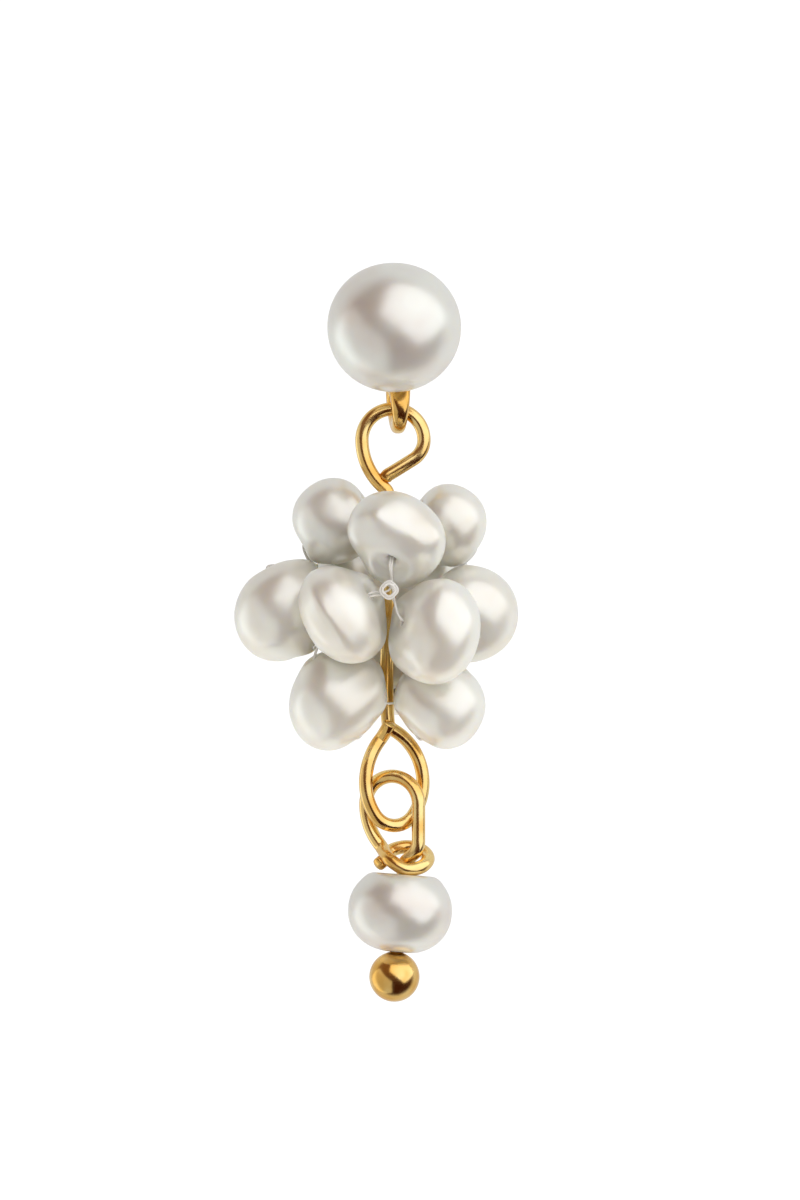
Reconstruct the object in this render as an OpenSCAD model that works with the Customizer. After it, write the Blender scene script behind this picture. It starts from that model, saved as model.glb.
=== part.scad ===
// Cluster earring: a pearl stud with a soldered ring, a pearl cluster on an eye pin, and a pearl tip.
// Millimetres. +Z is up, the front of the pearls faces -Y, and the ear post runs along +Y.
// The origin is on the post's axis, at the flat back of the cup that rests on the ear lobe.

/* [Stud] */
// Width of the stud pearl
stud_pearl_across = 6.7; // [5:0.1:8]
// Height of the stud pearl
stud_pearl_tall = 6.45; // [4.8:0.05:7.8]
// Wall of the cup behind the stud pearl
cup_wall = 0.45; // [0.3:0.05:0.8]
// Angle from the post to the rim of the cup
cup_angle = 50; // [35:1:55]
// Radius of the flat ear seat behind the cup
seat_r = 1.6; // [1:0.1:2.2]
// Thickness of the flat ear seat
seat_t = 0.3; // [0.2:0.05:0.6]
// Diameter of the ear post
post_d = 0.8; // [0.7:0.05:1]
// Length of the ear post behind the seat
post_len = 10.5; // [9:0.5:12]
// Diameter of the peg glued into the stud pearl
peg_d = 0.7; // [0.5:0.05:1]

/* [Ring under the stud] */
// Outer diameter of the soldered ring
ring_d = 2.9; // [2.6:0.1:3.4]
// Thickness of the ring's wire
ring_wire_d = 0.84; // [0.7:0.02:1]
// Place of the ring to the right of the post
ring_x = 0.2; // [-0.5:0.05:0.5]
// Height of the ring's lowest point
ring_bottom_z = -5.28; // [-5.6:0.02:-5]
// Turn of the ring away from edge-on
ring_turn = 6; // [0:1:12]
// Distance of the hanging parts behind the centre of the stud pearl
drop_back = 2.95; // [2.9:0.05:3.4]

/* [Drop wire] */
// Thickness of the wire of both pins
wire_d = 0.64; // [0.5:0.02:0.7]
// Place of the cluster pin to the right of the ear post
pin_x = -0.3; // [-0.5:0.05:0]
// Height of the middle of the cluster
cluster_z = -14.25; // [-14.5:0.05:-14]
// Turn of the cluster pin's lower eye, left side to the front
low_eye_yaw = 20; // [17:1:24]
// Turn of the tip's eye, left side to the back
tip_eye_yaw = -20; // [-24:1:-17]

/* [Cluster] */
// Edge length of the thread's cube on its corner
cage_edge = 7.3; // [7:0.1:7.6]
// Turn of the thread's cube about the pin
cage_turn = 5; // [0:1:10]
// Radius of the drill hole through each cluster pearl
drill_r = 0.27; // [0.22:0.01:0.35]
// Radius of the thread
thread_r = 0.15; // [0.1:0.01:0.18]
// Radius of the thread's ring round the pin, to the middle of the thread
thread_ring_r = 0.62; // [0.6:0.02:0.8]

/* [Tip] */
// Width of the tip pearl
tip_pearl_across = 5.2; // [4.5:0.1:5.6]
// Height of the tip pearl along its drill hole
tip_pearl_tall = 4.35; // [4:0.05:4.6]
// Diameter of the ball that ends the tip pin
ball_d = 2.52; // [2:0.02:3]
// Lean of the tip, its top to the right
tip_lean = 5; // [0:1:8]
// Radius of the wire turn above the tip pearl
turn_r = 1.12; // [1:0.02:1.2]
// Tilt of that turn, its front down
turn_tilt = 17; // [10:1:20]

/* [Hidden] */
$fn = 48;
gold = "#d9a441";
nacre = "#f3efe6";
nylon = "#f7f7f2";
// Room for glue round a peg, a stem or a pearl in its cup
glue_gap = 0.05;
// Small step by which stretches of wire stop short of the bead of metal that joins them
eps = 0.01;

// The stud pearl's back is carried by the cup, and the seat's flat back lies in the plane y = 0.
stud_r = stud_pearl_across / 2;
cup_in_r = stud_r + glue_gap;
cup_out_r = cup_in_r + cup_wall;
stud_pearl_y = -(cup_out_r + seat_t);
cup_rim_y = stud_pearl_y + cup_out_r * cos(cup_angle);
// Depth of the peg in the stud pearl
peg_in = 2.5;
ring_mid_r = (ring_d - ring_wire_d) / 2;
ring_z = ring_bottom_z + ring_d / 2;
drop_y = stud_pearl_y + drop_back;
// The solder that joins the ring to the cup lies on the line from the pearl's centre to the ring's
ring_slant = atan2(-ring_z, drop_back);
solder_r = 0.62;
post_tip_len = 0.35;

wire_r = wire_d / 2;
// How much fuller the wire is where two stretches meet
joint_swell = 1.03;

// A wire path is a start point, a heading and rows of [turn in degrees, radius] or [0, length].
// It lies in a plane, with x to the right and z up, and a positive turn goes to the left.
top_eye_start = [0, 5.88];
top_eye_rows = [[48, 0.45], [0, 0.15], [-48, 3.15], [-180, 1.55], [-58, 1.15], [0, 1.3]];
low_eye_start = [0, -5.4];
low_eye_rows = [[62, 0.5], [-62, 3.0], [-35, 2.8], [-110, 1.24], [-35, 2.8], [-40, 3.4]];
tip_eye_rows = [[-45, 0.45], [0, 0.42], [50, 0.8], [0, 1.9], [180, 1.4], [40, 3.1], [0, 0.75]];

// Where the tip hangs, as places of its parts to the right of and below the ear post.
// The pearl and the neck lie on the leaning axis above the ball.
ball_at = [0.02, -32.43];
tip_pearl_rise = 3.31;
neck_rise = 5.55;
tip_axis = [sin(tip_lean), cos(tip_lean)];
tip_pearl_at = ball_at + tip_pearl_rise * tip_axis;
neck = ball_at + neck_rise * tip_axis;
turn_at = [0.6, -26.27];
// The tip hangs a little in front of the cluster pin, so that the two eyes pass each other freely.
tip_forward = 0.1;
tip_y = drop_y - tip_forward;
// Cut end of the turn, pointing left, forward and down
tail = [-0.42, -0.1, -0.15];

// The thread runs along the edges of a cube that stands on its corner round the pin.
// Corners 0 to 5 go round it from the front to the right, the even ones higher, then top and bottom.
top_corner = 6;
bottom_corner = 7;
function cage_corner(i) = i == top_corner ? [0, 0, cage_edge * sqrt(3) / 2]
  : i == bottom_corner ? [0, 0, -cage_edge * sqrt(3) / 2]
  : let (a = i * 60 + cage_turn, r = cage_edge * sqrt(2 / 3))
    [r * sin(a), -r * cos(a), (i % 2 == 0 ? 1 : -1) * cage_edge * sqrt(3) / 6];

// Cluster pearls: x, y, z from the middle of the cluster, across, along the hole, first and last corner
pearls = [
  [0.5, -2.6, 3.95, 4.7, 4.0, 6, 0],
  [-2.7, 0.8, 4.6, 4.1, 3.9, 6, 4],
  [3.2, 1.3, 4.4, 3.85, 3.7, 6, 2],
  [-5.2, 0.1, 0.1, 4.95, 4.3, 4, 5],
  [-2.3, -3.7, -0.1, 4.9, 4.0, 0, 5],
  [2.45, -3.75, -0.95, 5.2, 4.05, 0, 1],
  [4.3, 0.6, -0.05, 4.6, 4.1, 2, 1],
  [2.25, 4.4, 1.2, 4.6, 4.1, 2, 3],
  [-2.35, 3.75, 1.15, 4.7, 4.2, 4, 3],
  [-2.68, -1.1, -4.4, 4.7, 4.2, 5, 7],
  [2.8, -0.65, -4.6, 4.2, 4.0, 1, 7],
  [0.2, 2.7, -2.7, 4.6, 4.2, 3, 7]
];
function place(p) = [p[0], p[1], p[2]];
function hole_dir(p) = let (d = cage_corner(p[6]) - cage_corner(p[5])) d / norm(d);
// Points where the thread leaves a pearl, before and behind it
mouth_out = 0.25;
// Balls of thread at each bend and at each knot, and the thicker ring round the pin
bend_r = 1.1 * thread_r;
knot_r = 1.8 * thread_r;
ring_thread_r = 1.15 * thread_r;
function mouth(p, side) = place(p) + side * (p[4] / 2 + mouth_out) * hole_dir(p);
// A knot lies midway between the mouths of the three pearls that share a corner
function mouths_at(i) = [for (p = pearls) for (s = [-1, 1]) if (p[s < 0 ? 5 : 6] == i) mouth(p, s)];
function mean(v) = (v[0] + v[1] + v[2]) / 3;
// Heights of the thread's two rings round the pin, from the middle of the cluster
ring_up_z = 5.5;
ring_low_z = -5.35;

// Turns a child's z axis to a direction
module aim(d) {
  rotate([0, acos(d[2] / norm(d)), atan2(d[1], d[0])]) children();
}

// A straight round rod between two points
module rod(a, b, r) {
  translate(a) aim(b - a) cylinder(r = r, h = norm(b - a));
}

// A pearl's body: a flat-ended round bead, whose hole runs along z
module bead(across, along) {
  flat_r = (across - along) / 2;
  rotate_extrude()
    union() {
      intersection() {
        translate([flat_r, 0]) circle(r = along / 2);
        translate([flat_r, -along]) square([along, 2 * along]);
      }
      translate([0, -along / 2]) square([flat_r, along]);
    }
}

function path_end(p, h, turn, size) = turn == 0
  ? [p[0] + size * cos(h), p[1] + size * sin(h)]
  : let (s = sign(turn) * size)
    [p[0] - s * sin(h) + s * sin(h + turn), p[1] + s * cos(h) - s * cos(h + turn)];

// A round wire along a path, with a slightly fuller bead of metal where two stretches meet
module wire(p, h, rows, i = 0) {
  if (i < len(rows)) {
    turn = rows[i][0];
    size = rows[i][1];
    side = sign(turn) * size;
    trim = turn == 0 ? eps : eps / size * 180 / PI;
    translate([p[0], 0, p[1]]) {
      sphere(r = joint_swell * wire_r);
      if (turn == 0)
        rotate([0, 90 - h, 0]) translate([0, 0, trim]) cylinder(r = wire_r, h = size - 2 * trim);
      else
        translate([-side * sin(h), 0, side * cos(h)])
          rotate([90, 0, 0])
            rotate([0, 0, (turn > 0 ? h - 90 : h + turn + 90) + trim])
              rotate_extrude(angle = abs(turn) - 2 * trim) translate([size, 0]) circle(r = wire_r);
    }
    wire(path_end(p, h, turn, size), h + turn, rows, i + 1);
  }
}

// Cup, flat ear seat, post, peg and hanging ring, soldered into one piece
module stud_finding() {
  color(gold) {
    difference() {
      union() {
        translate([0, stud_pearl_y, 0])
          intersection() {
            sphere(r = cup_out_r);
            translate([-cup_out_r, cup_rim_y - stud_pearl_y, -cup_out_r]) cube(2 * cup_out_r);
          }
        rod([0, -seat_t - cup_wall, 0], [0, 0, 0], seat_r);
        translate([ring_x / 2, stud_pearl_y + cup_out_r * cos(ring_slant), -cup_out_r * sin(ring_slant)])
          sphere(r = solder_r);
      }
      translate([0, stud_pearl_y, 0]) sphere(r = cup_in_r);
    }
    rod([0, -seat_t, 0], [0, post_len - post_tip_len, 0], post_d / 2);
    translate([0, post_len - post_tip_len, 0]) rotate([-90, 0, 0])
      cylinder(r1 = post_d / 2, r2 = post_d / 4, h = post_tip_len);
    rod([0, stud_pearl_y + stud_r - peg_in, 0], [0, -seat_t, 0], peg_d / 2);
    translate([ring_x, drop_y, ring_z]) rotate([0, 0, ring_turn]) rotate([0, 90, 0])
      rotate_extrude() translate([ring_mid_r, 0]) circle(d = ring_wire_d);
  }
}

// The big pearl of the stud, half drilled from the back for the peg
module stud_pearl() {
  color(nacre)
    translate([0, stud_pearl_y, 0])
      difference() {
        bead(stud_pearl_across, stud_pearl_tall);
        rod([0, stud_r - peg_in - glue_gap, 0], [0, stud_r + 1, 0], peg_d / 2 + glue_gap);
      }
}

// One wire through the cluster, with an eye above and an eye below
module cluster_pin() {
  color(gold)
    translate([pin_x, drop_y, cluster_z]) {
      rod([0, 0, low_eye_start[1] + eps], [0, 0, top_eye_start[1] - eps], wire_r);
      wire(top_eye_start, 90, top_eye_rows);
      rotate([0, 0, low_eye_yaw]) wire(low_eye_start, -90, low_eye_rows);
    }
}

// One drilled pearl of the cluster, by its row in the table
module cluster_pearl(i) {
  p = pearls[i];
  color(nacre)
    translate([pin_x, drop_y, cluster_z] + place(p))
      aim(hole_dir(p))
        difference() {
          bead(p[3], p[4]);
          cylinder(r = drill_r, h = 2 * p[4], center = true);
        }
}

// The thread that ties the twelve pearls and passes round the pin above and below
module cluster_thread() {
  color(nylon)
    translate([pin_x, drop_y, cluster_z]) {
      for (p = pearls) rod(mouth(p, -1), mouth(p, 1), thread_r);
      for (p = pearls) for (s = [-1, 1]) {
        corner = p[s < 0 ? 5 : 6];
        from = mouth(p, s);
        out = norm([from[0], from[1]]);
        ring_point = [from[0] / out * thread_ring_r, from[1] / out * thread_ring_r,
                      corner == top_corner ? ring_up_z : ring_low_z];
        to = corner < top_corner ? mean(mouths_at(corner)) : ring_point;
        translate(from) sphere(r = bend_r);
        rod(from, to, thread_r);
      }
      for (i = [0:5]) translate(mean(mouths_at(i))) sphere(r = knot_r);
      for (z = [ring_up_z, ring_low_z]) translate([0, 0, z])
        rotate_extrude() translate([thread_ring_r, 0]) circle(r = ring_thread_r);
    }
}

// Puts a child, made along z about the ball, on the leaning axis of the tip
module tip_frame(at) {
  translate([at[0], tip_y, at[1]]) rotate([0, tip_lean, 0]) children();
}

// The wire that carries the tip pearl: ball, stem, one turn round the neck and the eye
module tip_pin() {
  color(gold) {
    translate([ball_at[0], tip_y, ball_at[1]]) sphere(d = ball_d);
    tip_frame(ball_at) cylinder(r = wire_r, h = norm(neck - ball_at) - eps);
    translate([neck[0], tip_y, neck[1]]) rotate([0, 0, tip_eye_yaw])
      wire([0, 0], 90 - tip_lean, tip_eye_rows);
    translate([turn_at[0], tip_y, turn_at[1]]) {
      rotate([turn_tilt, 0, 0]) rotate_extrude() translate([turn_r, 0]) circle(r = wire_r);
      rod([-turn_r, 0, 0], [-turn_r, 0, 0] + tail, 0.95 * wire_r);
    }
  }
}

// The small pearl of the tip, drilled through and seated on the ball
module tip_pearl() {
  color(nacre)
    difference() {
      tip_frame(tip_pearl_at)
        difference() {
          bead(tip_pearl_across, tip_pearl_tall);
          cylinder(r = wire_r + glue_gap, h = 2 * tip_pearl_tall, center = true);
        }
      tip_frame(ball_at) sphere(d = ball_d + 2 * glue_gap);
    }
}

stud_finding();
stud_pearl();
cluster_pin();
cluster_thread();
cluster_pearl(0);  // pearl_top_front
cluster_pearl(1);  // pearl_top_left
cluster_pearl(2);  // pearl_top_right
cluster_pearl(3);  // pearl_side_left
cluster_pearl(4);  // pearl_front_left
cluster_pearl(5);  // pearl_front_right
cluster_pearl(6);  // pearl_side_right
cluster_pearl(7);  // pearl_back_right
cluster_pearl(8);  // pearl_back_left
cluster_pearl(9);  // pearl_low_left
cluster_pearl(10);  // pearl_low_right
cluster_pearl(11);  // pearl_low_back
tip_pin();
tip_pearl();
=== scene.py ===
import itertools
import math

import bpy
import numpy as np
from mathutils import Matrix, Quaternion, Vector


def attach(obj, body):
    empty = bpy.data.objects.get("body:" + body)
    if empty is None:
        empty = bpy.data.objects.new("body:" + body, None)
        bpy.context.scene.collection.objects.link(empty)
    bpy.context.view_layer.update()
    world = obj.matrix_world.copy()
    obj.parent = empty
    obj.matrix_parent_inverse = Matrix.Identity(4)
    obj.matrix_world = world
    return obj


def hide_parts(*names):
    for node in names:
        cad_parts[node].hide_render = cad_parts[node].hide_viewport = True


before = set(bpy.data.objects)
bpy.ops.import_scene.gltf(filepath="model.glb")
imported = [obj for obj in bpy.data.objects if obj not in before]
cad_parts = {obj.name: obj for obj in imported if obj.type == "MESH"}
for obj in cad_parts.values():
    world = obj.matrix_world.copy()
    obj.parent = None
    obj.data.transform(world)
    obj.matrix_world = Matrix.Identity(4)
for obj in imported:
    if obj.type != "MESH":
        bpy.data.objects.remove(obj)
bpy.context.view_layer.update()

MM = 0.001

# Studio. The earring hangs free above a pale floor. One large soft panel at the upper right and a weaker
# one at the lower left light it. The dark of the room between them gives pearls and gold their dark band.
LOOK_AT = (0.3, -1.2, -13.6)
CAMERA_BACK = 1600
VIEW_HEIGHT = 60
SENSOR = 36
FLOOR_Z = -140
FLOOR_HALF = 230
PANEL_BACK = 350
PANEL_ROLL = -45
BACKDROP = (1.1, 1.1, 1.1, 1.0)


def linear(hex_colour):
    """An sRGB hex colour as linear red, green, blue and alpha: the sRGB curve undone channel by channel."""
    c = np.array([int(hex_colour[i:i + 2], 16) for i in (1, 3, 5)]) / 255
    rgb = np.where(c <= 0.04045, c / 12.92, ((c + 0.055) / 1.055) ** 2.4)
    return (*rgb.tolist(), 1.0)


def add(tree, kind, settings=None, inputs=None):
    """Adds a shader node with its settings. An input gets a value, or a link if its value is an output."""
    node = tree.nodes.new("ShaderNode" + kind)
    for name, value in (settings or {}).items():
        setattr(node, name, value)
    for name, value in (inputs or {}).items():
        if isinstance(value, bpy.types.NodeSocket):
            tree.links.new(value, node.inputs[name])
        else:
            node.inputs[name].default_value = value
    return node


def unit(v):
    """Vectors scaled to length one along their last axis."""
    v = np.asarray(v, float)
    return v / np.linalg.norm(v, axis=-1, keepdims=True)


def soft_panel(name, direction, width, height, radiance, colour):
    """A soft light that faces the middle of the earring, rolled about its own middle. Its power is pi times its
    area times its radiance."""
    data = bpy.data.lights.new(name, "AREA")
    data.shape, data.size, data.size_y = "RECTANGLE", width * MM, height * MM
    data.energy = math.pi * width * height * MM * MM * radiance
    data.color = linear(colour)[:3]
    panel = bpy.data.objects.new(name, data)
    away = unit(direction)
    panel.location = (np.array(LOOK_AT) + away * PANEL_BACK) * MM
    panel.rotation_mode = "QUATERNION"
    rolled = Quaternion((0, 0, 1), math.radians(PANEL_ROLL))
    panel.rotation_quaternion = Vector(away).to_track_quat("Z", "Y") @ rolled
    panel.visible_camera = False
    bpy.context.scene.collection.objects.link(panel)


camera_data = bpy.data.cameras.new("camera")
camera_data.sensor_width = SENSOR
camera_data.lens = SENSOR * CAMERA_BACK / VIEW_HEIGHT
camera_data.clip_start, camera_data.clip_end = 0.01, 100
camera = bpy.data.objects.new("camera", camera_data)
camera.location = np.add(LOOK_AT, (0, -CAMERA_BACK, 0)) * MM
camera.rotation_euler = (math.pi / 2, 0, 0)
bpy.context.scene.collection.objects.link(camera)
bpy.context.scene.camera = camera
bpy.context.scene.view_settings.view_transform = "Standard"

floor_mesh = bpy.data.meshes.new("floor")
corners = [(-1, -1), (1, -1), (1, 1), (-1, 1)]
floor_mesh.from_pydata([(x * FLOOR_HALF * MM, y * FLOOR_HALF * MM, FLOOR_Z * MM) for x, y in corners], [],
                       [(0, 1, 2, 3)])
floor = bpy.data.objects.new("floor", floor_mesh)
floor.visible_glossy = False
floor.visible_shadow = False
bpy.context.scene.collection.objects.link(floor)

# Matt white studio card
card = bpy.data.materials.new("matt_white_card")
card.use_nodes = True
card_tree = card.node_tree
card_shader = card_tree.nodes["Principled BSDF"]
card_shader.inputs["Base Color"].default_value = linear("#FAFAFA")
card_shader.inputs["Roughness"].default_value = 0.9
card_shader.inputs["Emission Color"].default_value = linear("#FFF7EE")
card_shader.inputs["Emission Strength"].default_value = 0.8
floor_mesh.materials.append(card)

# The room: white behind the earring, and brown in front of it, darkest below. The camera sees a white backdrop.
room = bpy.data.worlds.new("room")
bpy.context.scene.world = room
room.use_nodes = True
sky = room.node_tree
sky.nodes.clear()
ray = add(sky, "TexCoord").outputs["Generated"]
along = add(sky, "SeparateXYZ", inputs={0: ray})
smooth = {"interpolation_type": "SMOOTHSTEP"}
behind = add(sky, "MapRange", smooth, {"Value": along.outputs["Y"], "From Min": -0.12, "From Max": 0.3})
above = add(sky, "MapRange", smooth, {"Value": along.outputs["Z"], "From Min": -0.6, "From Max": 0.7})
seen = add(sky, "LightPath").outputs["Is Camera Ray"]


def mixed(tree, factor, first, second):
    """The colour of a mix node, whose sockets 6 and 7 take the two colours."""
    return add(tree, "Mix", {"data_type": "RGBA"}, {"Factor": factor, 6: first, 7: second}).outputs[2]


front = mixed(sky, above.outputs["Result"], linear("#3E1D0F"), linear("#866752"))
shade = mixed(sky, behind.outputs["Result"], front, linear("#E3E4E4"))
lit = add(sky, "Background", inputs={"Color": mixed(sky, seen, shade, BACKDROP), "Strength": 1.0}).outputs[0]
add(sky, "OutputWorld", inputs={"Surface": lit})

soft_panel("key_panel", (0.57, -0.655, 0.495), 900, 680, 1.33, "#F2F9FF")
soft_panel("fill_panel", (-0.862, -0.28, -0.423), 820, 560, 0.65, "#F0FAFD")

# Stud pearl. A button-shaped freshwater pearl, half drilled from behind and glued on the peg of the cup.
# Nacre is thin layers of aragonite: part of the light comes from within it, part off its layers.
STUD_PEARL_AT = (0, -4.15, 0)
STUD_PEARL_ACROSS = 6.7
STUD_PEARL_TALL = 6.45
PEARL_RINGS = 96
PEARL_SIDES = 128
EASE_FROM_LIP = 0.5
POLE_GAP = 0.005


def skin(rings, loop):
    """Points and faces over rings of points. Each ring closes on itself and is joined to the next. The last ring
    is joined to the first if loop, and otherwise a fan round a middle point closes each end. The faces are
    turned round where the volume, the sum of their triple products, comes out negative."""
    n, m = rings.shape[:2]
    points = rings.reshape(-1, 3)
    i = np.arange(n if loop else n - 1)[:, None]
    j = np.arange(m)[None, :]
    step, beside = (i + 1) % n * m, (j + 1) % m
    quads = np.stack([i * m + j, i * m + beside, step + beside, step + j], -1).reshape(-1, 4)
    fans = np.zeros((0, 3), int)
    if not loop:
        points = np.vstack([points, rings[0].mean(0), rings[-1].mean(0)])
        k, last = np.arange(m), (n - 1) * m
        fans = np.vstack([np.stack([(k + 1) % m, k, np.full(m, n * m)], -1),
                          np.stack([last + k, last + (k + 1) % m, np.full(m, n * m + 1)], -1)])
    halves = np.vstack([quads[:, [0, 1, 2]], quads[:, [0, 2, 3]], fans])
    a, b, c = points[halves[:, 0]], points[halves[:, 1]], points[halves[:, 2]]
    if (a * np.cross(b, c)).sum() < 0:
        quads, fans = quads[:, ::-1], fans[:, ::-1]
    return points, quads, fans


def piece(name, shells, material, body, slot, *nodes):
    """One object out of closed shells given in millimetres. It rides on a body and stands for its CAD nodes."""
    points, faces, start = [], [], 0
    for shell_points, quads, fans in shells:
        points.append(shell_points)
        faces += (quads + start).tolist() + (fans + start).tolist()
        start += len(shell_points)
    mesh = bpy.data.meshes.new(name)
    mesh.from_pydata(np.vstack(points) * MM, [], faces)
    mesh.shade_smooth()
    mesh.materials.append(material)
    made = bpy.data.objects.new(name, mesh)
    bpy.context.scene.collection.objects.link(made)
    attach(made, body)
    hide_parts(*nodes)


def frame_of(axis):
    """Two directions at right angles to an axis and to each other, and the axis itself, all of length one."""
    axis = unit(axis)
    side = unit(np.cross(axis, (1, 0, 0) if abs(axis[0]) < 0.7 else (0, 0, 1)))
    return side, np.cross(axis, side), axis


def pearl(at, across, along, axis, hole=0, lip=0.12, bulge=0.93, pulls=(), bumps=(), furrows=(),
          waver=0.02, dip=(0.05, 0.05)):
    """A pearl. Its profile is a superellipse, half-width cos(t)^bulge and half-height sin(t)^bulge, turned about
    an axis. Where it is drilled along the axis, its lower and upper end sink by the two shares of the height in
    dip, and round over a lip into the hole's wall.
    Pulls (way, factor) make it longer or shorter along a way. The skin is then moved along the direction d from
    the middle by
      - bumps: height times exp((d . way - 1) / spread), a swelling or, below zero, a dent on one side,
      - furrows: minus depth times exp(-((d . axis - level) / width)^2), a ring round the hole, strongest towards
        the side way. A depth below zero makes a ridge,
      - waver: the mean of seven slow sine waves over d.
    None of them reaches the lip."""
    side, other, axis = frame_of(axis)
    a, b = across / 2, along / 2
    t_end = math.acos(((hole + lip) / a) ** (1 / bulge)) if hole else math.pi / 2 - POLE_GAP
    t = np.linspace(-t_end, t_end, PEARL_RINGS)
    out = np.cos(t) ** bulge * a
    high = np.sign(t) * np.abs(np.sin(t)) ** bulge * b
    if hole:
        high *= 1 - np.where(t > 0, dip[1], dip[0]) * np.exp(-(out / (3 * hole)) ** 2)
        q = np.linspace(0, math.pi / 2, 6)[1:]
        rise = high[-1] - lip
        out = np.r_[out, hole + lip - lip * np.sin(q), np.full(6, hole), hole + lip - lip * np.sin(q[::-1])]
        high = np.r_[high, rise + lip * np.cos(q), np.linspace(rise, -rise, 8)[1:-1], -rise - lip * np.cos(q[::-1])]
    turn = np.linspace(0, 2 * math.pi, PEARL_SIDES, endpoint=False)[None, :, None]
    shape = out[:, None, None] * (np.cos(turn) * side + np.sin(turn) * other) + high[:, None, None] * axis
    for way, factor in pulls:
        shape = shape + (factor - 1) * (shape @ unit(way))[..., None] * unit(way)
    d = unit(shape)
    move = np.zeros(d.shape[:2])
    for way, height, spread in bumps:
        move += height * np.exp((d @ unit(way) - 1) / spread)
    for way, level, depth, width in furrows:
        move -= depth * (0.5 + 0.5 * (d @ unit(way))) * np.exp(-((d @ axis - level) / width) ** 2)
    k = np.arange(7)
    slow = unit(np.stack([np.cos(2.4 * k), np.sin(2.4 * k), np.cos(1.1 * k + at[0])], -1))
    move += waver * np.sin(d @ slow.T * (2.2 + 0.5 * k) + 1.7 * k + at[2]).mean(-1)
    free = np.clip((out - hole - lip) / EASE_FROM_LIP, 0, 1) if hole else np.ones(len(out))
    move *= (free * free * (3 - 2 * free))[:, None]
    return skin(shape + d * move[..., None] + np.array(at, float), bool(hole))


def nacre(name, body, shine, warm, roughness, metallic, ripple_mm):
    """Freshwater nacre. It starts from aragonite's index of 1.53 to 1.68 and a satin roughness. Part of it is
    metallic, because its thin layers mirror light as a metal does. Slow noise carries the overtones, from
    creamy to rosy and silver over two to three millimetres. A finer one carries the soft unevenness of the
    skin, drawn coarser than the growth lines, which are too fine to show."""
    made = bpy.data.materials.new(name)
    made.use_nodes = True
    tree = made.node_tree
    shader = tree.nodes["Principled BSDF"]
    place = add(tree, "TexCoord").outputs["Object"]
    cloud = add(tree, "TexNoise", inputs={"Vector": place, "Scale": 1 / (2.6 * MM), "Detail": 2.0,
                                          "Roughness": 0.45}).outputs["Fac"]
    tone = add(tree, "ValToRGB", inputs={"Fac": cloud})
    ramp = tone.color_ramp
    ramp.elements[0].position, ramp.elements[0].color = 0.34, linear(warm)
    ramp.elements[1].position, ramp.elements[1].color = 0.66, linear(shine)
    ramp.elements.new(0.5).color = linear(body)
    tree.links.new(tone.outputs["Color"], shader.inputs["Base Color"])
    satin = add(tree, "TexNoise", inputs={"Vector": place, "Scale": 1 / (1.1 * MM), "Detail": 3.0}).outputs["Fac"]
    tree.links.new(add(tree, "MapRange", inputs={"Value": satin, "To Min": roughness - 0.02,
                                                 "To Max": roughness + 0.05}).outputs["Result"],
                   shader.inputs["Roughness"])
    growth = add(tree, "TexNoise", inputs={"Vector": place, "Scale": 1 / (ripple_mm * MM), "Detail": 1.0,
                                           "Roughness": 0.5}).outputs["Fac"]
    tree.links.new(add(tree, "Bump", inputs={"Height": growth, "Strength": 0.2,
                                             "Distance": 0.03 * MM}).outputs["Normal"],
                   shader.inputs["Normal"])
    for socket, value in {"Metallic": metallic, "IOR": 1.6, "Coat Weight": 0.2, "Coat Roughness": 0.28,
                          "Coat IOR": 1.55, "Subsurface Weight": 0.8, "Subsurface Scale": 1.0 * MM,
                          "Subsurface Radius": (1.0, 0.85, 0.55)}.items():
        shader.inputs[socket].default_value = value
    return made


white_nacre = nacre("freshwater_nacre_white", "#E2E0D9", "#E5E6DF", "#DED7CF", 0.305, 0.6, 1.2)
stud_shell = pearl(STUD_PEARL_AT, STUD_PEARL_ACROSS, STUD_PEARL_TALL, (0, 0, 1), bulge=0.985, waver=0.03)
piece("stud_pearl_nacre", [stud_shell], white_nacre, "stud", "pearl", "stud_pearl")

# Stud finding. A stamped cup with a flat ear seat, a drawn post whose front end is the pearl's peg, and a ring
# of thick wire, soldered under the cup, filed flat at its sides and slimmer towards its foot. Gold plated.
CUP_INNER = 3.4
CUP_OUTER = 3.85
CUP_ANGLE = 50
SEAT_R = 1.6
POST_R = 0.4
POST_END = 10.5
POST_TAPER = 0.35
PEG_R = 0.35
PEG_FRONT = -3.3
ON_AXIS = 0.01
HANG_Y = -1.2
RING_AT = (0.2, HANG_Y, -3.83)
RING_MID_R = 1.03
RING_WIRE_R = 0.42
RING_TURN = 6
RING_FLATS = 0.75
RING_BREADTH = 1.1
RING_SLIMMING = 0.26
SOLDER_AT = (0.15, -1.72, -3.0)
SOLDER_AXIS = (0, 0.35, -1)
SOLDER_R = 0.48
SOLDER_HALF = 0.58


def soften(corners, radius):
    """A profile whose corners are rounded: each turns along a quadratic curve that starts and ends at the given
    distance from it, or at two fifths of a shorter side, with one more point beyond each end to keep the flats
    flat."""
    p = np.array(corners, float)
    u = np.linspace(0, 1, 6)[:, None]
    done = [p[:1]]
    for before, corner, after in zip(p[:-2], p[1:-1], p[2:]):
        back, on = before - corner, after - corner
        off = min(radius, 0.4 * np.linalg.norm(back), 0.4 * np.linalg.norm(on))
        start, stop = corner + unit(back) * off, corner + unit(on) * off
        curve = (1 - u) ** 2 * start + 2 * u * (1 - u) * corner + u ** 2 * stop
        done += [start[None] + unit(back) * 0.2 * off, curve, stop[None] + unit(on) * 0.2 * off]
    return np.vstack([*done, p[-1:]])


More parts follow.
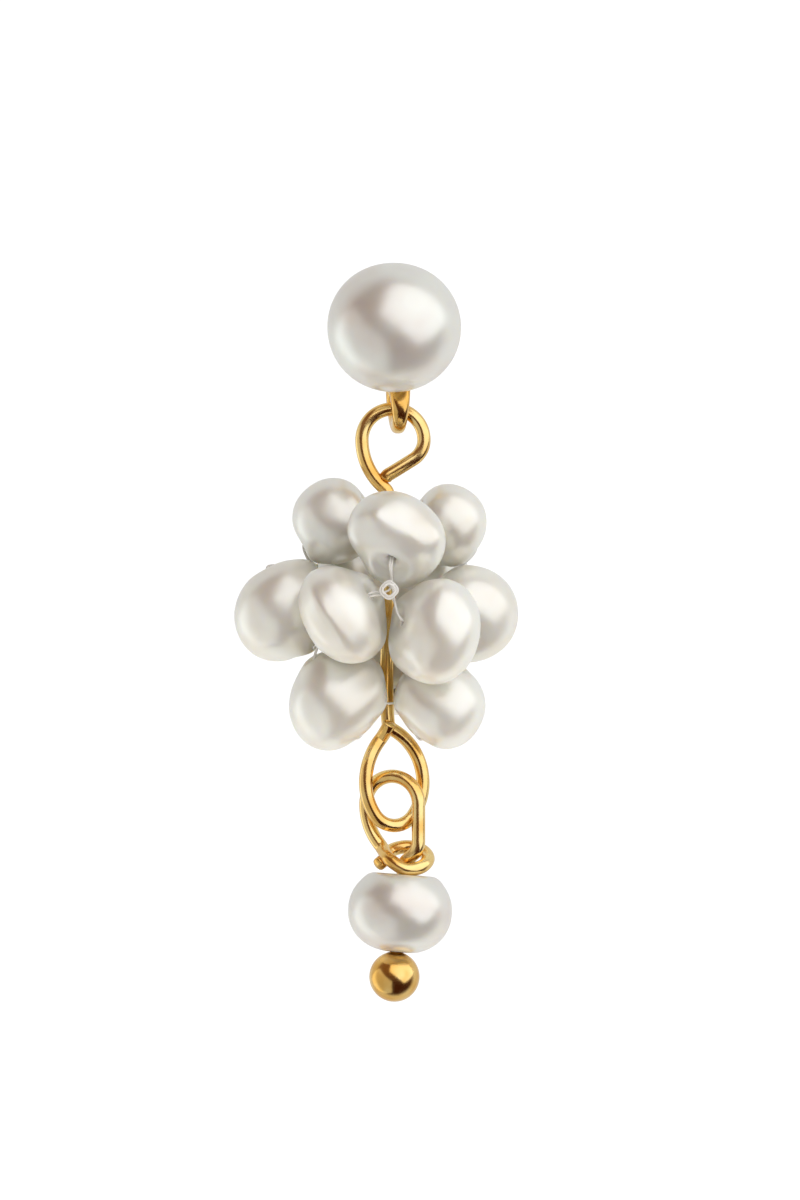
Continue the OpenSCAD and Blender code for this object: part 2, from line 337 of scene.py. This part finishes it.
def lathe(profile, at, axis, sides):
    """Rings of a profile of [distance from the axis, height along it], turned about the axis."""
    side, other, axis = frame_of(axis)
    turn = np.linspace(0, 2 * math.pi, sides, endpoint=False)[None, :, None]
    out, high = profile[:, 0, None, None], profile[:, 1, None, None]
    return np.array(at, float) + out * (np.cos(turn) * side + np.sin(turn) * other) + high * axis


def arc(radius, start, stop, middle):
    """Points of a circle in the profile's plane, from one angle off the axis to another."""
    angle = np.radians(np.linspace(start, stop, 14))
    return np.stack([radius * np.sin(angle), middle + radius * np.cos(angle)], -1)


def plated_gold(name, body, deep, pale, roughness, mark_mm):
    """Polished gold plate, a mirror with a warm yellow body. Gold's own colour comes from its reflectance. Slow
    noise carries slightly redder and paler places of the plating. Fine noise carries the polishing marks, drawn
    coarser than real ones so that they show."""
    made = bpy.data.materials.new(name)
    made.use_nodes = True
    tree = made.node_tree
    shader = tree.nodes["Principled BSDF"]
    place = add(tree, "TexCoord").outputs["Object"]
    cloud = add(tree, "TexNoise", inputs={"Vector": place, "Scale": 1 / (1.5 * MM), "Detail": 2.0}).outputs["Fac"]
    tone = add(tree, "ValToRGB", inputs={"Fac": cloud})
    ramp = tone.color_ramp
    ramp.elements[0].position, ramp.elements[0].color = 0.35, linear(deep)
    ramp.elements[1].position, ramp.elements[1].color = 0.66, linear(pale)
    ramp.elements.new(0.5).color = linear(body)
    tree.links.new(tone.outputs["Color"], shader.inputs["Base Color"])
    marks = add(tree, "TexNoise", inputs={"Vector": place, "Scale": 1 / (mark_mm * MM), "Detail": 4.0,
                                          "Roughness": 0.6}).outputs["Fac"]
    tree.links.new(add(tree, "MapRange", inputs={"Value": marks, "To Min": roughness - 0.04,
                                                 "To Max": roughness + 0.08}).outputs["Result"],
                   shader.inputs["Roughness"])
    tree.links.new(add(tree, "Bump", inputs={"Height": marks, "Strength": 0.25,
                                             "Distance": 0.01 * MM}).outputs["Normal"],
                   shader.inputs["Normal"])
    shader.inputs["Metallic"].default_value = 1.0
    return made


gold = plated_gold("polished_gold_plate", "#F2CB80", "#E4B05A", "#F6D893", 0.17, 0.25)
pearl_y = STUD_PEARL_AT[1]
seat_meets_cup = math.degrees(math.asin(SEAT_R / CUP_OUTER))
rim_y = pearl_y + CUP_OUTER * math.cos(math.radians(CUP_ANGLE))
rim_inside = math.degrees(math.acos((rim_y - pearl_y) / CUP_INNER))
peg_meets_cup = math.degrees(math.asin(PEG_R / CUP_INNER))
outside = arc(CUP_OUTER, seat_meets_cup, CUP_ANGLE, pearl_y)
inside = arc(CUP_INNER, rim_inside, peg_meets_cup, pearl_y)
cup_profile = np.vstack([
    soften([(ON_AXIS, POST_END), (POST_R / 2, POST_END), (POST_R, POST_END - POST_TAPER), (POST_R, 0),
            (SEAT_R, 0), outside[0]], 0.1),
    outside[1:-1],
    soften([outside[-2], outside[-1], inside[0], inside[1]], 0.12)[1:-1],
    inside[1:-1],
    soften([inside[-2], inside[-1], (PEG_R, PEG_FRONT), (ON_AXIS, PEG_FRONT)], 0.08)[1:]])
piece("stud_cup_and_post", [skin(lathe(cup_profile, (0, 0, 0), (0, 1, 0), 96), False)], gold, "stud", "gold",
      "stud_finding")

ring_turn = np.linspace(0, 2 * math.pi, 96, endpoint=False)[:, None, None]
wire_turn = np.linspace(0, 2 * math.pi, 40, endpoint=False)[None, :, None]
ring_axis = np.array([math.cos(math.radians(RING_TURN)), math.sin(math.radians(RING_TURN)), 0])
ring_side = np.array([-ring_axis[1], ring_axis[0], 0])
spoke = np.cos(ring_turn) * ring_side + np.sin(ring_turn) * np.array([0, 0, 1])
flat_side = [np.sign(c) * np.abs(c) ** RING_FLATS for c in (np.cos(wire_turn), np.sin(wire_turn))]
ring_rings = np.array(RING_AT) + spoke * (RING_MID_R + RING_WIRE_R * flat_side[0]) \
    + ring_axis * RING_WIRE_R * (RING_BREADTH + RING_SLIMMING * np.sin(ring_turn)) * flat_side[1]
# The solder ends just short of its poles, which skin closes
half_turn = np.linspace(-1.56, 1.56, 40)
solder_profile = np.stack([SOLDER_R * np.cos(half_turn), SOLDER_HALF * np.sin(half_turn)], -1)
solder = lathe(solder_profile, SOLDER_AT, SOLDER_AXIS, 48)
piece("stud_hanging_ring", [skin(ring_rings, True), skin(solder, False)], gold, "stud", "gold", "stud_finding")

# Cluster pin. One length of round wire, bent to an eye that hangs in the ring, straight down through the
# cluster, and bent to a second eye below. The bends were made by hand over round-nosed pliers.
WIRE_R = 0.34
CUT_ROUND = 0.35
PIN_X = -0.3
CLUSTER_Z = -14.25
# An eye is its start, its heading in degrees, and its bends (degrees, radius) and straight stretches (0, length)
TOP_EYE = ((0, 5.88), 90, [(48, 0.45), (0, 0.15), (-48, 3.15), (-180, 1.55), (-58, 1.15), (0, 0.9)])
TOP_END = [(-0.12, -1.2, -7.24), (-0.36, -1.2, -7.4), (-0.48, -1.2, -7.62)]
LOW_END = [(-0.5, -1.5, -20.3), (-0.33, -1.76, -20.0), (-0.2, -1.88, -19.72)]
LOW_EYE = ((0, -5.4), -90, [(62, 0.5), (-62, 3.0), (-35, 2.8), (-110, 1.24), (-35, 2.8), (-40, 3.4)])
LOW_EYE_YAW = 20


def trace(start, heading, rows, step=0.07):
    """Points along a flat path of rows of (turn in degrees, radius), or (0, length) for a straight stretch. On
    a bend the point is start + side * radius * (n(heading) - n(heading + turn)), with n the normal to the left."""
    points = [np.array([start], float)]
    for turn, size in rows:
        here, h = points[-1][-1], math.radians(heading)
        if turn == 0:
            s = np.linspace(0, size, max(2, round(size / step)))[1:, None]
            points.append(here + s * np.array([math.cos(h), math.sin(h)]))
        else:
            span = math.radians(turn)
            angle = h + np.linspace(0, span, max(3, round(abs(span) * size / step)))[1:]
            left = math.copysign(size, turn)
            points.append(here + left * np.stack([np.sin(angle) - math.sin(h), math.cos(h) - np.cos(angle)], -1))
        heading += turn
    return np.vstack(points)


def upright(flat, at, yaw):
    """Points of a flat path, x to the right and z up, stood on the z axis at a place and turned by yaw."""
    turn = math.radians(yaw)
    return np.stack([flat[:, 0] * math.cos(turn), flat[:, 0] * math.sin(turn), flat[:, 1]], -1) + np.array(at, float)


def tube(path, radius, side, sides=28):
    """Rings round a path. The ring's first direction is the part of side at right angles to the path, and the
    second is at right angles to both. The radius may change along the path."""
    ahead = unit(np.gradient(path, axis=0))
    side = np.broadcast_to(np.asarray(side, float), path.shape)
    first = unit(side - (side * ahead).sum(-1, keepdims=True) * ahead)
    second = np.cross(ahead, first)
    turn = np.linspace(0, 2 * math.pi, sides, endpoint=False)[None, :, None]
    radius = np.broadcast_to(radius, len(path))[:, None, None]
    return path[:, None] + radius * (np.cos(turn) * first[:, None] + np.sin(turn) * second[:, None])


def along_path(path):
    """How far along a path each of its points is."""
    return np.r_[0, np.cumsum(np.linalg.norm(np.diff(path, axis=0), axis=1))]


def cut_ends(path, radius, start=True):
    """The radius along a wire whose cut ends are slightly rounded: it falls as a quarter circle over the last
    CUT_ROUND of a radius. The start can be left whole."""
    gone = along_path(path)
    edge = radius * CUT_ROUND
    near = np.minimum(gone if start else edge, gone[-1] - gone)
    k = 1 - np.clip(near / edge, 0, 1)
    return radius * (1 - CUT_ROUND + CUT_ROUND * np.sqrt(1 - k * k))


def even(points, step=0.06):
    """A path through given points, at even steps along it: a cubic with the chord's slope at each point."""
    p = np.array(points, float)
    t = along_path(p)
    slope = np.gradient(p, t, axis=0)
    s = np.linspace(0, t[-1], max(8, round(t[-1] / step)))
    k = np.clip(np.searchsorted(t, s, side="right") - 1, 0, len(t) - 2)
    w = (t[k + 1] - t[k])[:, None]
    u = ((s - t[k])[:, None]) / w
    return ((2 * u ** 3 - 3 * u ** 2 + 1) * p[k] + (u ** 3 - 2 * u ** 2 + u) * w * slope[k]
            + (3 * u ** 2 - 2 * u ** 3) * p[k + 1] + (u ** 3 - u ** 2) * w * slope[k + 1])


pin_foot = (PIN_X, HANG_Y, CLUSTER_Z)
top_eye = np.vstack([upright(trace(*TOP_EYE), pin_foot, 0), TOP_END])
low_eye = np.vstack([upright(trace(*LOW_EYE), pin_foot, LOW_EYE_YAW), LOW_END])
pin_path = even(np.vstack([low_eye[::-1], top_eye]))
yaw = math.radians(LOW_EYE_YAW)
up_share = np.clip((pin_path[:, 2] - low_eye[0, 2]) / (top_eye[0, 2] - low_eye[0, 2]), 0, 1)[:, None]
pin_side = up_share * np.array([0, 1, 0]) + (1 - up_share) * np.array([-math.sin(yaw), math.cos(yaw), 0])
piece("cluster_pin_wire", [skin(tube(pin_path, cut_ends(pin_path, WIRE_R), pin_side), False)], gold, "drop",
      "gold", "cluster_pin")

# Cluster pearls. Twelve small potato and button pearls of different sizes, drilled through and woven into a
# ball round the pin, one on each edge of a cube that stands on its corner. They are creamier than the stud's.
CAGE_EDGE = 7.3
CAGE_TURN = 5
DRILL_R = 0.19
SMALL_WAVER = 0.1
# Each pearl's place from the middle of the cluster, its size across and along its hole, and the two corners of
# the cube that the hole's mouths look to
CLUSTER_PEARLS = {
    "top_front": ((0.5, -2.6, 3.95), 4.7, 4.0, 6, 0),
    "top_left": ((-2.7, 0.8, 4.6), 4.1, 3.9, 6, 4),
    "top_right": ((3.2, 1.3, 4.4), 3.85, 3.7, 6, 2),
    "side_left": ((-5.2, 0.1, 0.1), 4.95, 4.3, 4, 5),
    "front_left": ((-2.3, -3.7, -0.1), 4.9, 4.0, 0, 5),
    "front_right": ((2.45, -3.75, -0.95), 5.2, 4.05, 0, 1),
    "side_right": ((4.3, 0.6, -0.05), 4.6, 4.1, 2, 1),
    "back_right": ((2.25, 4.4, 1.2), 4.6, 4.1, 2, 3),
    "back_left": ((-2.35, 3.75, 1.15), 4.7, 4.2, 4, 3),
    "low_left": ((-2.68, -1.1, -4.4), 4.7, 4.2, 5, 7),
    "low_right": ((2.8, -0.65, -4.6), 4.2, 4.0, 1, 7),
    "low_back": ((0.2, 2.7, -2.7), 4.6, 4.2, 3, 7),
}
# How a pearl is out of true, see the function pearl. A shift moves it, and a way turns its hole.
SHAPES = {
    "top_front": {"shift": (0, -0.3, 0), "way": (-0.2, -0.66, -0.72), "lip": 0.4,
                  "pulls": [((0.8, 0, -0.6), 1.08), ((0.6, 0, 0.8), 0.93), ((0.3, -0.93, 0.2), 0.8)],
                  "bumps": [((0.9, -0.5, -0.05), 0.22, 0.07), ((-0.9, -0.3, -0.1), 0.2, 0.12),
                            ((0.45, -0.85, -0.05), 0.08, 0.04), ((-0.48, -0.75, 0.42), 0.14, 0.03),
                            ((-0.1, 0.15, -1), 0.6, 0.1)]},
    "top_left": {"way": (-0.8, 0.15, -0.58), "pulls": [((0, 0, 1), 1.05)],
                 "bumps": [((0.4, -0.65, -0.62), 0.3, 0.12), ((-0.1, -0.95, 0.3), -0.05, 0.04)]},
    "top_right": {"shift": (-0.18, 0, 0), "way": (0.8, 0.2, -0.57), "pulls": [((0, 0, 1), 1.06)]},
    "side_left": {"way": (0.45, -0.05, -0.9), "pulls": [((0, 0, 1), 1.12)],
                  "bumps": [((0.4, -0.9, 0.3), 0.1, 0.06), ((0.5, -0.8, -0.2), -0.08, 0.05),
                            ((0.5, -0.3, -0.8), 0.2, 0.05)]},
    "front_left": {"way": (-0.8, 0.25, -0.54), "pulls": [((0.35, 0, -0.94), 1.05), ((0.94, 0, 0.35), 0.92)],
                   "bumps": [((0.95, 0.35, -0.1), 0.2, 0.07), ((0.8, 0.35, -0.55), 0.25, 0.06),
                             ((0.85, 0.35, 0.45), 0.35, 0.05), ((-0.7, 0.3, -0.65), 0.25, 0.05)],
                   "furrows": [((-0.2, -1, 0), 0.03, -0.14, 0.18)]},
    "front_right": {"way": (0.9, 0.33, -0.28),
                    "bumps": [((-0.1, -0.5, -0.9), 0.1, 0.1), ((-0.3, -0.75, -0.6), 0.13, 0.03),
                              ((0.2, -0.45, 0.85), 0.2, 0.12), ((-0.95, 0.35, 0), 0.2, 0.07),
                              ((-0.8, 0.35, -0.5), 0.25, 0.06), ((-0.8, 0.35, 0.55), 0.35, 0.06)]},
    "side_right": {"shift": (-0.1, 0, 0), "pulls": [((0, 0, 1), 1.07)]},
    "low_left": {"shift": (0, 0, 0.05), "way": (0.5, 0.1, -0.86), "pulls": [((0, 0, 1), 1.12)],
                 "bumps": [((0.9, -0.4, 0.2), 0.25, 0.1), ((0.75, -0.3, 0.65), 0.45, 0.07),
                           ((-0.4, -0.3, 0.85), 0.25, 0.06)]},
    "low_right": {"shift": (-0.05, 0, 0), "way": (-0.5, 0.05, -0.86), "pulls": [((0, 0, 1), 1.06)],
                  "bumps": [((-0.87, -0.45, 0.2), 0.35, 0.12), ((-0.7, -0.4, 0.6), 0.42, 0.07),
                            ((0.3, 0, 0.9), 0.15, 0.08)]},
    "low_back": {"shift": (0.1, 0, -0.1)},
}
# Neighbours whose skins are nearer than this swell until they nearly touch, but the pin shows between two pairs
NEIGHBOUR_GAP = 0.9
TOUCH_GAP = 0.04
PIN_SHOWS = {("front_left", "front_right"): 0.5, ("low_left", "low_right"): 0.22}
SWELLING_SPREAD = 0.05


def cage_corner(i):
    """Corners of the cube of thread: 0 to 5 go round it, the even ones higher, 6 is its top and 7 its foot."""
    if i > 5:
        return np.array([0, 0, CAGE_EDGE * math.sqrt(3) / 2 * (1 if i == 6 else -1)])
    a, r = math.radians(60 * i + CAGE_TURN), CAGE_EDGE * math.sqrt(2 / 3)
    return np.array([r * math.sin(a), -r * math.cos(a), (1 - i % 2 * 2) * CAGE_EDGE * math.sqrt(3) / 6])


def reach(middle, form, way):
    """How far a pearl reaches from its middle along a direction, over its points within eight degrees of it."""
    away = pearl(middle, **form)[0] - middle
    on = away @ way
    return on[on > 0.99 * np.linalg.norm(away, axis=1)].max()


cream_nacre = nacre("freshwater_nacre_cream", "#E9E8E0", "#EDEDE6", "#E5E1D6", 0.305, 0.48, 1.3)
# Each hole's mouths lie at a way and a distance from its pearl's middle, which the pulls move with the skin
holes, grown = [], {}
for name, (place, across, along, first, last) in CLUSTER_PEARLS.items():
    own = {"bumps": [], **SHAPES.get(name, {})}
    place = np.add(place, own.pop("shift", (0, 0, 0)))
    way = unit(own.pop("way", cage_corner(last) - cage_corner(first)))
    mouth = way * along / 2
    for pull, factor in own.get("pulls", ()):
        mouth = mouth + (factor - 1) * (mouth @ unit(pull)) * unit(pull)
    holes.append((first, last, place, unit(mouth), np.linalg.norm(mouth)))
    grown[name] = (place + pin_foot, {"across": across, "along": along, "axis": way, "hole": DRILL_R,
                                      "waver": SMALL_WAVER, **own})
swellings = {name: [] for name in grown}
for one, other in itertools.combinations(grown, 2):
    (at_one, form_one), (at_other, form_other) = grown[one], grown[other]
    apart = np.linalg.norm(at_other - at_one)
    way = unit(at_other - at_one)
    gap = apart - reach(at_one, form_one, way) - reach(at_other, form_other, -way)
    if gap < NEIGHBOUR_GAP:
        height = (gap - PIN_SHOWS.get((one, other), TOUCH_GAP)) / 2
        swellings[one].append((way, height, SWELLING_SPREAD))
        swellings[other].append((-way, height, SWELLING_SPREAD))
for name, (place, form) in grown.items():
    form["bumps"] = form["bumps"] + swellings[name]
    piece("nacre_" + name, [pearl(place, **form)], cream_nacre, "drop", "pearl", "pearl_" + name)

# Cluster thread. Clear nylon beading thread that runs through every pearl and crosses from hole to hole at the
# corners. Above and below, it passes round the pin, and it is knotted at the front corner.
THREAD_R = 0.055
THREAD_BESIDE = 0.09
THREAD_SIDES = 12
INTO_HOLLOW = 0.75
CLEAR_OF_PIN = 0.62
ROUND_PIN_SHARES = np.array([0.25, 0.5, 0.75])
START_INSIDE = 0.05
DEEP_SHARE = 0.6
SHORT_OF_MOUTH = 0.1
KNOT_AT = (0.05, -4.4, 1.15)
KNOT_TURNS = ((0.3, 0), (0.41, 0.06), (0.35, 0.14))
KNOT_SQUARENESS = 0.06
KNOT_THREAD_R = 0.065
KNOT_POINTS = 60

nylon = bpy.data.materials.new("clear_nylon_thread")
nylon.use_nodes = True
nylon_tree = nylon.node_tree
nylon_shader = nylon_tree.nodes["Principled BSDF"]
nylon_place = add(nylon_tree, "TexCoord").outputs["Object"]
# Drawn nylon: index 1.53, a soft gloss, and a slight haze that varies along the thread, coarser than in life
haze = add(nylon_tree, "TexNoise", inputs={"Vector": nylon_place, "Scale": 1 / (0.6 * MM),
                                           "Detail": 2.0}).outputs["Fac"]
haze_tone = add(nylon_tree, "ValToRGB", inputs={"Fac": haze})
haze_tone.color_ramp.elements[0].color = linear("#F2EFE6")
haze_tone.color_ramp.elements[1].color = linear("#FBFAF6")
nylon_tree.links.new(haze_tone.outputs["Color"], nylon_shader.inputs["Base Color"])
nylon_tree.links.new(add(nylon_tree, "MapRange", inputs={"Value": haze, "To Min": 0.18, "To Max": 0.32}).outputs[0],
                     nylon_shader.inputs["Roughness"])
nylon_shader.inputs["IOR"].default_value = 1.53
nylon_shader.inputs["Transmission Weight"].default_value = 0.15

ends_at = {i: [] for i in range(8)}
for first, last, place, way, deep in holes:
    ends_at[first].append((place, -way, deep))
    ends_at[last].append((place, way, deep))
strands = []
for i, ends in ends_at.items():
    hollow = np.mean([mid for mid, _, _ in ends], axis=0)
    for (mid_a, way_a, deep_a), (mid_b, way_b, deep_b) in zip(ends, ends[1:] + ends[:1]):
        mouth_a, mouth_b = mid_a + way_a * (deep_a - SHORT_OF_MOUTH), mid_b + way_b * (deep_b - SHORT_OF_MOUTH)
        across_a = unit((mouth_b - mouth_a) - ((mouth_b - mouth_a) @ way_a) * way_a) * THREAD_BESIDE
        across_b = unit((mouth_a - mouth_b) - ((mouth_a - mouth_b) @ way_b) * way_b) * THREAD_BESIDE
        middle = (mouth_a + mouth_b) / 2 * (1 - INTO_HOLLOW) + hollow * INTO_HOLLOW
        crossing = middle[None]
        if i > 5:
            start, stop = (math.atan2(mouth[1], mouth[0]) for mouth in (mouth_a, mouth_b))
            round_pin = start + ((stop - start + math.pi) % (2 * math.pi) - math.pi) * ROUND_PIN_SHARES
            crossing = np.stack([CLEAR_OF_PIN * np.cos(round_pin), CLEAR_OF_PIN * np.sin(round_pin),
                                 np.full(3, middle[2])], -1)
        line_a, line_b = mid_a + across_a, mid_b + across_b
        route = np.vstack([line_a + way_a * START_INSIDE, line_a + way_a * DEEP_SHARE * deep_a,
                           mouth_a + across_a, crossing, mouth_b + across_b,
                           line_b + way_b * DEEP_SHARE * deep_b, line_b + way_b * START_INSIDE])
        path = even(route, 0.08) + np.array(pin_foot)
        beside = np.cross(way_a, mouth_b - mouth_a)
        strands.append(skin(tube(path, cut_ends(path, THREAD_R), beside, THREAD_SIDES), False))
# The knot, three turns of thread side by side, slightly square, that leave a small hole between them
for turn_r, forward in KNOT_TURNS:
    angle = np.linspace(0, 2 * math.pi, KNOT_POINTS, endpoint=False)
    bent = turn_r * (1 + KNOT_SQUARENESS * np.cos(4 * angle))
    coil = np.array(pin_foot) + KNOT_AT
    coil = coil + np.stack([bent * np.cos(angle), np.full(KNOT_POINTS, forward), bent * np.sin(angle)], -1)
    outward = unit(coil - coil.mean(0))
    section = np.linspace(0, 2 * math.pi, THREAD_SIDES, endpoint=False)[None, :, None]
    strands.append(skin(coil[:, None] + KNOT_THREAD_R * (np.cos(section) * outward[:, None]
                                                     + np.sin(section) * np.array([0, 1, 0])), True))
piece("cluster_thread_strands", strands, nylon, "drop", "nylon", "cluster_thread")

# Tip pin. A ball-ended wire: the ball carries the pearl, the wire rises through it into an open loop, and its
# end comes down across the front, goes once round the neck and is cut off at the left.
BALL_AT = np.array([0.02, -1.3, -32.43])
BALL_R = 1.26
TIP_LEAN = 5
NECK_RISE = 5.55
TIP_EYE = ((0, 0), 90 - TIP_LEAN, [(-45, 0.45), (0, 0.42), (50, 0.8), (0, 1.9), (180, 1.4), (40, 3.1)])
TIP_EYE_YAW = -20
TURN_AT = np.array([0.6, -1.3, -26.53])
TURN_R = 1.1
TURN_TILT = 29
# Where the turn's points lie round the neck in degrees, and how far each is above the tilted circle
TURN_ANGLES = np.radians([232, 270, 315, 0, 45, 90, 135, 175])
TURN_ABOVE = np.array([0.27, 0.0, -0.02, 0.0, 0.03, 0.05, 0.0, -0.1])
TAIL_END = (-0.82, -1.5, -26.86)
STEM_FROM_BALL = 0.06
STEM_TO_NECK = 0.05
# The rings of the wire turn from the eye's side to upright over a length that begins before the turn does
TWIST_BEFORE = 1.5
TWIST_OVER = 2.5

lean = math.radians(TIP_LEAN)
tip_axis = np.array([math.sin(lean), 0, math.cos(lean)])
neck = BALL_AT + NECK_RISE * tip_axis
loop = upright(trace(*TIP_EYE), neck, TIP_EYE_YAW)
tilt = math.radians(TURN_TILT)
turn_points = TURN_AT + TURN_R * np.stack([np.cos(TURN_ANGLES), np.sin(TURN_ANGLES) * math.cos(tilt),
                                           np.sin(TURN_ANGLES) * math.sin(tilt)], -1)
turn_points[:, 2] += TURN_ABOVE
wire_path = even(np.vstack([loop, turn_points, TAIL_END]))
ball_s = -BALL_R * np.cos(np.linspace(0.02, math.pi - math.asin(WIRE_R / BALL_R), 48))
ball_path = BALL_AT + ball_s[:, None] * tip_axis
stem_s = np.linspace(ball_s[-1] + STEM_FROM_BALL, NECK_RISE - STEM_TO_NECK, 50)
stem_path = BALL_AT + stem_s[:, None] * tip_axis
tip_path = np.vstack([ball_path, stem_path, wire_path])
# The ball's own radius where it is thicker than the wire, and else the wire's with its cut end
ball_radius = np.r_[np.sqrt(BALL_R ** 2 - ball_s ** 2), np.full(len(stem_path) + len(wire_path), WIRE_R)]
wire_radius = cut_ends(tip_path, WIRE_R, start=False)
tip_radius = np.minimum(ball_radius, np.maximum(wire_radius, ball_radius * (ball_radius > WIRE_R)))
eye_side = np.array([-math.sin(math.radians(TIP_EYE_YAW)), math.cos(math.radians(TIP_EYE_YAW)), 0])
gone = along_path(tip_path)
loop_end = gone[len(ball_path) + len(stem_path)] + along_path(loop)[-1]
lie = np.clip((gone - loop_end + TWIST_BEFORE) / TWIST_OVER, 0, 1)[:, None]
tip_side = (1 - lie) * eye_side + lie * np.array([0, 0, 1])
piece("tip_pin_wire", [skin(tube(tip_path, tip_radius, tip_side, 40), False)], gold, "tip", "gold", "tip_pin")

# Tip pearl. A small pearl shaped like a flat apple, drilled through and held between the ball and the turn.
TIP_PEARL_RISE = 3.31
TIP_PEARL_ACROSS = 5.2
TIP_PEARL_TALL = 4.35
ROUND_WIRE = 0.05

tip_pearl_at = BALL_AT + TIP_PEARL_RISE * tip_axis
tip_shell = pearl(tip_pearl_at, TIP_PEARL_ACROSS, TIP_PEARL_TALL, tip_axis, hole=WIRE_R + ROUND_WIRE, bulge=0.92,
                  furrows=[(tip_axis, 0.78, -0.16, 0.18)], waver=0.05, dip=(0.04, 0.4))
piece("tip_pearl_nacre", [tip_shell], white_nacre, "tip", "pearl", "tip_pearl")
